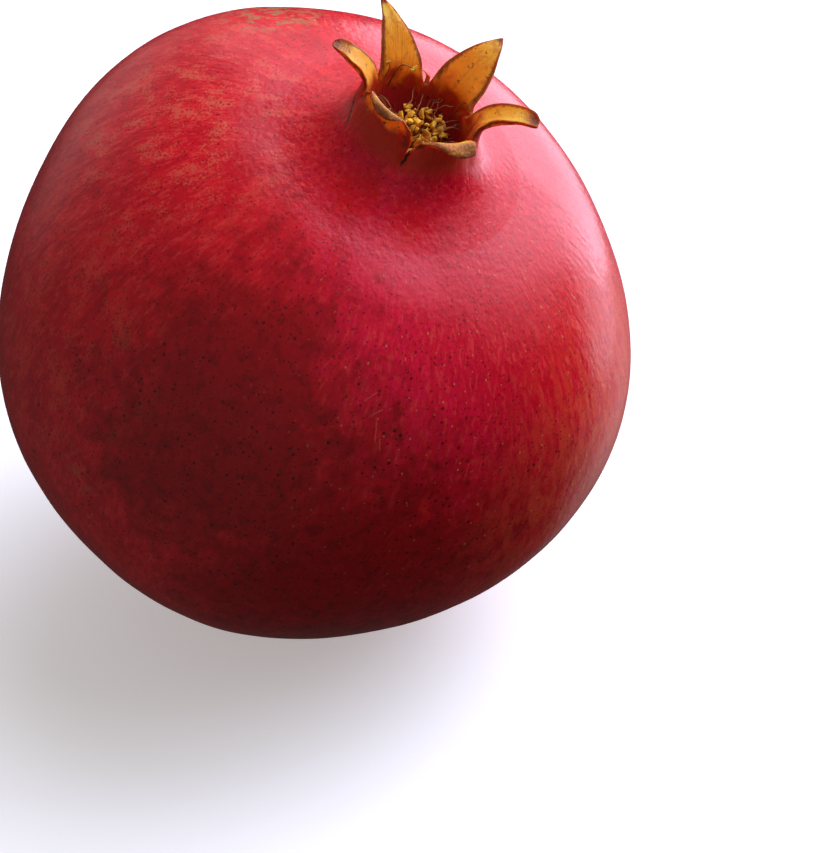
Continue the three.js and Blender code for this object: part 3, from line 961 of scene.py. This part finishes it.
@dataclass
class CrownedFruit(PieceMaker):
    """The rind and the calyx, modelled as one skin and parted at a ring on the neck, in millimetres and degrees.

    The rim sinks at its notches, over rim_span of height, and a shallow valley runs down the wall below each.
    """

    form: BodyForm
    sepals: tuple[Sepal, ...] = SEPALS
    segments: int = 144
    body_rows: int = 40
    neck_rows: int = 16
    cup_rows: int = 12
    sepal_rows: int = 20
    neck_foot: float = 28.0
    neck_flare: float = 9.5
    neck_rise: float = 5.0
    rim_radius: float = 9.4
    rim_height: float = RIM_HEIGHT
    wall: float = 1.6
    cup_depth: float = 9.0
    cup_rounding: float = 3.5
    seam_height: float = 41.3
    crown_from: float = 43.4
    cracks: tuple[Crack, ...] = CRACKS
    notches: tuple[Notch, ...] = (
        Notch(5, 0.2, 0.0),
        Notch(50, 0.5, 0.6),
        Notch(117, 1.0, 0.2),
        Notch(172.5, 1.1, 0.0),
        Notch(212.5, 0.5, 0.0),
        Notch(292.5, 1.5, 0.1),
    )
    valley_depth: float = 0.35
    valley_spread: float = 9.0
    rim_span: float = 5.0

    @property
    def wall_middle(self) -> float:
        """The radius of the middle of the cup's wall at its rim."""
        return self.rim_radius - self.wall / 2

    def profile(self) -> list[tuple[float, float]]:
        """The profile of the whole skin, from the stem end round the rim and down to the cup's floor."""
        polars = [blend(180, self.neck_foot, i / self.body_rows) for i in range(self.body_rows)]
        points = [self.form.profile_point(polar) for polar in polars]
        foot = self.form.profile_point(self.neck_foot)
        beyond = self.form.profile_point(self.neck_foot - 1)
        run = self.neck_flare / math.dist(foot, beyond)
        flare = (foot[0] + (beyond[0] - foot[0]) * run, foot[1] + (beyond[1] - foot[1]) * run)
        upright = (self.rim_radius + 0.2, self.rim_height - self.neck_rise)
        points += bezier((foot, flare, upright, (self.rim_radius, self.rim_height)), self.neck_rows)
        points.append((self.wall_middle, self.rim_height))
        mouth = self.rim_radius - self.wall
        floor = self.rim_height - self.cup_depth
        bend = (mouth * 0.97, floor + self.cup_rounding)
        inside = ((mouth, self.rim_height), bend, (mouth * 0.75, floor), (0.0, floor))
        points += bezier(inside, self.cup_rows)
        points[0] = (0.0, points[0][1])
        return points

    def turned_skin(self) -> BMesh:
        """The skin as a plain solid of revolution."""
        bm = bmesh.new()
        verts = [bm.verts.new((r, 0, z)) for r, z in self.profile()]
        edges = [bm.edges.new(pair) for pair in zip(verts, verts[1:])]
        bmesh.ops.spin(
            bm, geom=verts + edges, cent=(0, 0, 0), axis=(0, 0, 1), angle=math.tau, steps=self.segments, use_merge=True
        )
        bmesh.ops.remove_doubles(bm, verts=bm.verts, dist=0.001)
        bmesh.ops.recalc_face_normals(bm, faces=bm.faces)
        return bm

    def is_rim(self, face: BMFace) -> bool:
        """Whether a face of the turned skin lies on the rim between wall and cup."""
        return all(abs(vert.co.z - self.rim_height) < 0.001 for vert in face.verts)

    def is_rind(self, face: BMFace) -> bool:
        """Whether a face of the turned skin belongs to the rind and not to the calyx."""
        middle = face.calc_center_median()
        return middle.z < self.seam_height and not (middle.z > 0 and middle.xy.length < self.wall_middle)

    def mark(self, bm: BMesh) -> None:
        """Gives each point of the turned skin its attributes."""
        layers = {pattern: bm.verts.layers.float.new(pattern.value) for pattern in Pattern}
        mouth = self.rim_radius - self.wall
        for vert in bm.verts:
            radius = vert.co.xy.length
            inside = vert.co.z > 0 and radius < mouth + 0.01
            vert[layers[Pattern.INNER]] = 1.0 if inside else 0.0
            vert[layers[Pattern.DEPTH]] = (self.rim_height - vert.co.z) / self.cup_depth if inside else 0.0
            vert[layers[Pattern.CROWN]] = 1.0 if inside else smooth_step(vert.co.z, self.crown_from, self.rim_height)

    def sink_rim(self, point: Vector, radius: float, along: float, side: float) -> Vector:
        """Sinks the rim at its notches.

        Args:
            point: Where the point is.
            radius: Its distance from the axis.
            along: How far up a sepal it is.
            side: -1 on the inner face, 1 on the outer face.

        Returns:
            How far to move it.
        """
        start = self.rim_height - self.rim_span
        if point.z < start:
            return Vector()
        fade = smooth_step(point.z, start, self.rim_height) * (1 - smooth_step(along, 0, 0.4))
        outwards = Vector((point.x, point.y, 0)) / radius
        move = Vector()
        for notch in self.notches:
            away = abs(turn_from(notch.azimuth, azimuth_of(point)))
            near = math.exp(-((math.radians(away) * radius / notch.spread) ** 2)) * fade
            valley = math.exp(-((away / self.valley_spread) ** 2)) * fade * (side + 1) / 2 * self.valley_depth
            move -= UP * notch.dip * near + outwards * (notch.inset * near + valley)
        return move

    def crack_at(self, point: Vector, radius: float) -> float:
        """The depth of the cracks of the neck's wall at a point."""
        depth = 0.0
        for crack in self.cracks:
            away = abs(turn_from(crack.azimuth_at(self.rim_height - point.z), azimuth_of(point)))
            reach = smooth_step(point.z, self.rim_height - crack.length, self.rim_height - 0.5 * crack.length)
            depth += crack.depth * reach * math.exp(-((math.radians(away) * radius / crack.half_width) ** 2))
        return depth

    def shape_body(self, bm: BMesh) -> None:
        """Raises the body's relief, sinks the rim at its notches and cracks the neck below two of them."""
        floats = bm.verts.layers.float
        along, inner, side = (floats[name] for name in (Pattern.ALONG.value, Pattern.INNER.value, "side"))
        for vert in bm.verts:
            point = vert.co.copy()
            radius = point.xy.length
            vert.co += point.normalized() * self.form.relief(point)
            if point.z < self.crown_from or radius < 0.5:
                continue
            face = vert[side] if vert[along] else (-1.0 if vert[inner] else 1.0)
            vert.co += self.sink_rim(point, radius, vert[along], face)
            if face > 0 and not vert[along]:
                vert.co.xy *= 1 - self.crack_at(point, radius) / radius

    def grow_sepal(self, bm: BMesh, sepal: Sepal) -> None:
        """Grows a sepal out of its stretch of the rim, one row at a time."""
        layers = {pattern: bm.verts.layers.float[pattern.value] for pattern in Pattern}
        share, side = (bm.verts.layers.float[name] for name in ("share", "side"))
        faces = [face for face in bm.faces if face.tag and sepal.spans(azimuth_of(face.calc_center_median()))]
        for row in range(1, self.sepal_rows + 1):
            edges = {edge for face in faces for edge in face.edges}
            grown = bmesh.ops.extrude_face_region(bm, geom=[*faces, *edges])["geom"]
            faces = [item for item in grown if isinstance(item, BMFace)]
            along = row / self.sepal_rows
            for vert in (item for item in grown if isinstance(item, BMVert)):
                if row == 1:
                    radius = vert.co.xy.length
                    vert[share] = max(-1.0, min(1.0, sepal.across_at(azimuth_of(vert.co))))
                    vert[side] = round((radius - self.wall_middle) / (self.wall / 2))
                vert.co = sepal.place(vert[share], vert[side], along, self.wall_middle, self.rim_height)
                values = {
                    Pattern.ALONG: along,
                    Pattern.ACROSS: abs(vert[share]),
                    Pattern.DRY: sepal.dryness(vert[share], vert[side], along),
                    Pattern.INNER: 1.0 if vert[side] < 0 else 0.0,
                    Pattern.DEPTH: 0.0,
                    Pattern.CROWN: 1.0,
                }
                for pattern, value in values.items():
                    vert[layers[pattern]] = value

    def whole_skin(self) -> BMesh:
        """The upright skin with its relief, sepals and nubs, its faces parted by their material number."""
        bm = self.turned_skin()
        self.mark(bm)
        for name in ("share", "side"):
            bm.verts.layers.float.new(name)
        rind = {face for face in bm.faces if self.is_rind(face)}
        for face in bm.faces:
            face.tag = self.is_rim(face)
        for sepal in self.sepals:
            self.grow_sepal(bm, sepal)
            for face in bm.faces:
                face.tag = face.tag and self.is_rim(face)
        self.shape_body(bm)
        for face in bm.faces:
            face.material_index = (Part.RIND if face in rind else Part.CALYX).value
        return bm

    def rounded(self, bm: BMesh) -> BMesh:
        """Subdivides the whole skin before it is parted, so that its two parts meet without a crease.

        Args:
            bm: The skin, which is freed.

        Returns:
            The finer skin, with its normals kept in a layer.
        """
        coarse = meshed(bm, "whole_skin")
        whole = placed("whole_skin", coarse)
        subdivide(whole, 1)
        graph = bpy.context.evaluated_depsgraph_get()
        shape = whole.evaluated_get(graph)
        fine = bpy.data.meshes.new_from_object(shape, preserve_all_data_layers=True, depsgraph=graph)
        finer = bmesh.new()
        finer.from_mesh(fine)
        bpy.data.objects.remove(whole)
        for mesh in (coarse, fine):
            bpy.data.meshes.remove(mesh)
        shading = finer.verts.layers.float_vector.new(SHADING)
        for vert in finer.verts:
            vert[shading] = vert.normal
        return finer

    def part(self, whole: BMesh, kept: Part) -> BMesh:
        """A copy of the skin that keeps only the faces of one part."""
        bm = whole.copy()
        others = [face for face in bm.faces if face.material_index != kept.value]
        bmesh.ops.delete(bm, geom=others, context="FACES")
        return bm

    def build(self, rind: RindFinish, calyx: CalyxFinish) -> None:
        """Makes the two pieces of the skin."""
        skin = self.whole_skin()
        self.stance.set_down(skin)
        whole = self.rounded(skin)
        parts = ((Part.RIND, "rind_skin", "rind", rind), (Part.CALYX, "calyx_crown", "calyx", calyx))
        for kept, name, node, finish in parts:
            self.finish(self.part(whole, kept), name, node, finish.material(self.stance))
        whole.free()


@dataclass
class StamenTuft(PieceMaker):
    """The dried stamens in the cup: thin bent filaments, most of them with an anther, in millimetres."""

    floor_count: int = 200
    wall_count: int = 34
    cup_radius: float = 7.4
    wall_radius: float = 7.75
    floor_height: float = 41.6
    rim_height: float = RIM_HEIGHT
    filament_radius: float = 0.085
    filament_sides: int = 5
    filament_steps: int = 12
    curl: float = 1.5
    anther_length: float = 0.92
    anther_share: float = 0.56
    anther_sizes: tuple[float, ...] = (0.45, 0.75, 1.05, 1.35, 1.7)
    long_threads: tuple[tuple[Vector, Vector, Vector], ...] = (
        (Vector((-7.05, 2.85, 48.3)), Vector((-6.8, 3.0, 53.8)), Vector((-5.1, 4.3, 52.4))),
        (Vector((-7.6, 0.5, 49.0)), Vector((-6.7, 1.2, 52.6)), Vector((-7.6, 0.2, 53.4))),
        (Vector((1.9, 7.15, 46.8)), Vector((3.1, 6.9, 52.6)), Vector((5.2, 6.1, 50.4))),
    )
    draw: random.Random = field(default_factory=lambda: random.Random(SEED))

    def spot(self, radius: float, azimuth: float, height: float) -> Vector:
        """A point in the cup."""
        return Vector((radius * math.cos(azimuth), radius * math.sin(azimuth), height))

    def path(self, root: Vector, knee: Vector, end: Vector) -> Callable[[float], Vector]:
        """A smooth curve from root to end that leans towards knee."""

        def at(share: float) -> Vector:
            """The point at a share of the curve."""
            plain = root * (1 - share) ** 2 + knee * 2 * share * (1 - share) + end * share * share
            return plain + noise.noise_vector(root + end * 0.37 + UP * share * 2.6) * self.curl * share * (1.2 - share)

        return at

    def grow_filaments(self, curves: Sequence[Callable[[float], Vector]]) -> BMesh:
        """Grows all the filaments at once, one ring each at a time.

        Args:
            curves: The line that each filament follows.

        Returns:
            The filaments.
        """
        bm = bmesh.new()
        thread = bm.verts.layers.int.new("thread")
        around = bm.verts.layers.float_vector.new("around")
        for index in range(len(curves)):
            radius = self.filament_radius * self.draw.uniform(0.75, 1.3)
            for vert in bmesh.ops.create_circle(bm, segments=self.filament_sides, radius=radius)["verts"]:
                vert[thread] = index
                vert[around] = vert.co
        edges = list(bm.edges)
        ring = list(bm.verts)
        for step in range(self.filament_steps + 1):
            if step:
                grown = bmesh.ops.extrude_edge_only(bm, edges=edges)["geom"]
                ring = [item for item in grown if isinstance(item, BMVert)]
                edges = [item for item in grown if isinstance(item, BMEdge)]
            share = step / self.filament_steps
            for vert in ring:
                curve = curves[vert[thread]]
                heading = (curve(share + 0.02) - curve(share - 0.02)).normalized()
                vert.co = curve(share) + UP.rotation_difference(heading) @ vert[around] * (1 - 0.3 * share)
        bmesh.ops.holes_fill(bm, edges=bm.edges, sides=self.filament_sides)
        return bm

    def add_anther(self, bm: BMesh, place: Vector) -> None:
        """Adds a dried anther: a bent bean with a crease along its hollow side."""
        draw = self.draw
        size = self.anther_length * draw.choice(self.anther_sizes)
        slim = draw.uniform(0.9, 1.3)
        bow = draw.uniform(0.2, 0.8)
        turn = Euler((draw.uniform(0, math.tau), draw.uniform(-1.2, 1.2), draw.uniform(0, math.tau))).to_matrix()
        for vert in bmesh.ops.create_uvsphere(bm, u_segments=10, v_segments=8, radius=1.0)["verts"]:
            point = vert.co.copy()
            crease = 1 - 0.60 * math.exp(-((point.y / 0.35) ** 2)) * smooth_step(abs(point.x), 0.2, 0.8)
            lump = 1 + 0.45 * noise.noise(point * 1.9 + place)
            shaped = Vector((point.x * 0.44 * slim * crease + bow * (point.z**2 - 0.4), point.y * 0.54 * slim, point.z))
            vert.co = place + turn @ (shaped * size * 0.62 * lump)

    def floor_stamen(self, index: int) -> Callable[[float], Vector]:
        """The curve of a stamen that stands on the cup's floor."""
        draw = self.draw
        share = math.sqrt((index + 0.5) / self.floor_count)
        azimuth = index * math.radians(GOLDEN_ANGLE)
        radius = self.cup_radius * 0.85 * share
        height = draw.uniform(3.2, 6.6) * (1.08 - 0.3 * share)
        reach = radius * draw.uniform(0.8, 1.25)
        swing = azimuth + draw.uniform(-0.7, 0.7)
        root = self.spot(radius, azimuth, self.floor_height - 0.3)
        knee = self.spot(radius * draw.uniform(0.8, 1.5), swing, self.floor_height + height * draw.uniform(0.6, 1.1))
        return self.path(root, knee, self.spot(reach, swing, self.floor_height + height))

    def wall_stamen(self) -> Callable[[float], Vector]:
        """The curve of a stamen that bends in from the cup's wall."""
        draw = self.draw
        azimuth = draw.uniform(0, math.tau)
        height = self.rim_height - draw.uniform(0.9, 4.0)
        reach = draw.uniform(2.0, 5.8)
        swing = azimuth + draw.uniform(-0.55, 0.55)
        root = self.spot(self.wall_radius, azimuth, height)
        knee = self.spot(draw.uniform(5.2, 6.8), azimuth, height + draw.uniform(0.2, 1.6))
        return self.path(root, knee, self.spot(reach, swing, height - draw.uniform(0.2, 2.4)))

    def build(self, anther: DryFinish, filament: DryFinish) -> None:
        """Makes the filaments and the anthers, from vector noise that is the same each run once it is seeded."""
        noise.seed_set(SEED)
        curves = [self.path(*points) for points in self.long_threads]
        curves += [self.floor_stamen(index) for index in range(self.floor_count)]
        curves += [self.wall_stamen() for _ in range(self.wall_count)]
        threads = self.grow_filaments(curves)
        beans = bmesh.new()
        for index, curve in enumerate(curves):
            if index < len(self.long_threads) or self.draw.random() < self.anther_share:
                self.add_anther(beans, curve(1.0))
        for bm, name, finish in ((threads, "stamen_filaments", filament), (beans, "stamen_anthers", anther)):
            self.stance.set_down(bm)
            self.finish(bm, name, "stamens", finish.material(self.stance))


@dataclass
class StemStub(PieceMaker):
    """The clipped stem in the dimple at the other end, in millimetres."""

    form: BodyForm
    radius: float = 3.2
    length: float = 5.2
    sunk: float = 3.4
    sides: int = 32
    ridge: float = 0.16

    def build(self, finish: DryFinish) -> None:
        """Makes the stub, with fibres down its bark and a hollow in its clipped face."""
        bm = bmesh.new()
        bmesh.ops.create_cone(
            bm, cap_ends=True, segments=self.sides, radius1=self.radius, radius2=self.radius * 0.9, depth=self.length
        )
        sides = [edge for edge in bm.edges if edge.calc_length() > self.length * 0.9]
        bmesh.ops.subdivide_edges(bm, edges=sides, cuts=6, use_grid_fill=True)
        cut = min(bm.faces, key=lambda face: face.calc_center_median().z)
        for depth in (0.0, -0.25, -0.2):
            bmesh.ops.inset_region(bm, faces=[cut], thickness=0.35, depth=depth, use_even_offset=True)
        foot = -self.form.plain_radius(180)
        for vert in bm.verts:
            azimuth = math.atan2(vert.co.y, vert.co.x)
            fibre = self.ridge * noise.noise(Vector((math.cos(azimuth) * 4, math.sin(azimuth) * 4, vert.co.z * 0.2)))
            vert.co.xy *= 1 + fibre / self.radius * 2
            vert.co.z += foot + self.sunk - self.length / 2
        self.stance.set_down(bm)
        self.finish(bm, "stem_stub_bark", "stem_stub", finish.material(self.stance), 1)


@dataclass(frozen=True)
class Glow:
    """A soft patch of the light all round, in degrees: full up to core from its middle and gone at spread.

    azimuth is anticlockwise from +X, and height is above the horizon.
    """

    azimuth: float
    height: float
    strength: float
    spread: float = 34.0
    core: float = 0.0


@dataclass(frozen=True)
class Studio:
    """The camera, the light and the table, none of which is part of the fruit, in metres and degrees."""

    stance: Stance
    camera_azimuth: float = 36.0
    camera_height: float = 38.0
    camera_distance: float = 0.520
    lens: float = 142.06
    aside: float = 1.804
    below: float = 1.728
    glows: tuple[Glow, ...] = (
        Glow(95, 1, 2.2, 25, 22),
        Glow(71, -11, 1.4, 17, 13),
        Glow(84, 12, 0.5),
        Glow(75, 30, 2.6),
        Glow(90, 55, 2.72),
        Glow(45, 55, 1.55),
        Glow(150, 8, 0.3),
        Glow(122, 32, 1.1, 26),
        Glow(45, 30, 1.15),
        Glow(72, -30, 0.5, 26),
        Glow(92, -38, 0.2, 22),
        Glow(172, 12, 0.10),
        Glow(-100, 35, 0.19, 130),
    )
    haze: float = 0.035
    warm_tint: Colour = (1.0, 0.96, 0.92)
    cool_tint: Colour = (0.93, 0.95, 1.20)
    cooling: float = 0.4
    table_size: float = 3.0
    table_glow: float = 0.35

    def add_camera(self) -> None:
        """Adds the camera, which looks past the fruit's middle by its two turns."""
        turn = math.radians(self.camera_azimuth)
        rise = math.radians(self.camera_height)
        back = Vector((math.sin(turn) * math.cos(rise), -math.cos(turn) * math.cos(rise), math.sin(rise)))
        data = bpy.data.cameras.new("camera")
        data.lens = self.lens
        data.clip_start, data.clip_end = 0.01, 10.0
        camera = placed("camera", data)
        facing = (-back).to_track_quat("-Z", "Y").to_matrix()
        offset = Euler((-math.radians(self.below), -math.radians(self.aside), 0)).to_matrix()
        camera.matrix_world = (facing @ offset).to_4x4()
        camera.location = self.stance.middle + back * self.camera_distance
        bpy.context.scene.camera = camera

    def add_table(self) -> None:
        """Adds the plain pale table, which only the camera sees."""
        bm = bmesh.new()
        bmesh.ops.create_grid(bm, x_segments=1, y_segments=1, size=self.table_size)
        table = placed("table", meshed(bm, "table"))
        book = NodeBook(bpy.data.materials.new("pale_table"))
        matt = book.add("ShaderNodeBsdfDiffuse", {"Color": (0.9, 0.9, 0.9)}).outputs[0]
        glow = book.add("ShaderNodeEmission", {"Strength": self.table_glow}).outputs[0]
        both = book.add("ShaderNodeAddShader", {0: matt, 1: glow}).outputs[0]
        book.add("ShaderNodeOutputMaterial", {0: both})
        table.data.materials.append(book.owner)
        table.visible_glossy = table.visible_diffuse = table.visible_shadow = False

    def add_surroundings(self) -> None:
        """Adds the light all round: a dim haze, with glows behind the fruit and on its right."""
        world = bpy.data.worlds.new("studio")
        book = NodeBook(world)
        towards = book.add("ShaderNodeTexCoord", {}).outputs["Generated"]
        strength: Feed = self.haze
        for glow in self.glows:
            aim = {0: towards, 1: direction(glow.azimuth, 90 - glow.height)}
            facing = book.vector("DOT_PRODUCT", aim, "Value")
            patch = book.rise(facing, cosine(glow.spread), cosine(glow.core), glow.strength)
            strength = book.plus(patch, strength)
        feeds = {0: strength, 1: self.cooling}
        share = book.add("ShaderNodeMath", feeds, operation="MULTIPLY", use_clamp=True).outputs[0]
        feeds = {"Color": book.mix(share, self.warm_tint, self.cool_tint), "Strength": strength}
        book.add("ShaderNodeOutputWorld", {0: book.add("ShaderNodeBackground", feeds).outputs[0]})
        bpy.context.scene.world = world

    def build(self) -> None:
        """Sets up the whole studio."""
        self.add_camera()
        self.add_table()
        self.add_surroundings()
        bpy.context.scene.view_settings.view_transform = "Standard"


def main() -> None:
    """Builds the studio and every piece of the fruit."""
    logging.basicConfig(level=logging.INFO, format="%(name)s: %(message)s")
    stance = Stance()
    form = BodyForm()
    Studio(stance).build()
    rind = RindFinish()
    CrownedFruit(stance, form).build(rind, CalyxFinish(rind))
    anther = DryFinish("golden_anthers", (1.0, 0.60, 0.045), (0.46, 0.17, 0.012), 0.75, 0.8, 0.12)
    filament = DryFinish("dry_filaments", (0.40, 0.12, 0.025), (0.13, 0.025, 0.008), 0.6, 0.6, 0.03)
    StamenTuft(stance).build(anther, filament)
    bark = DryFinish("dry_stem", (0.34, 0.23, 0.13), (0.14, 0.08, 0.045), 0.5, 0.85, 0.2)
    StemStub(stance, form).build(bark)


if __name__ == "__main__":
    main()
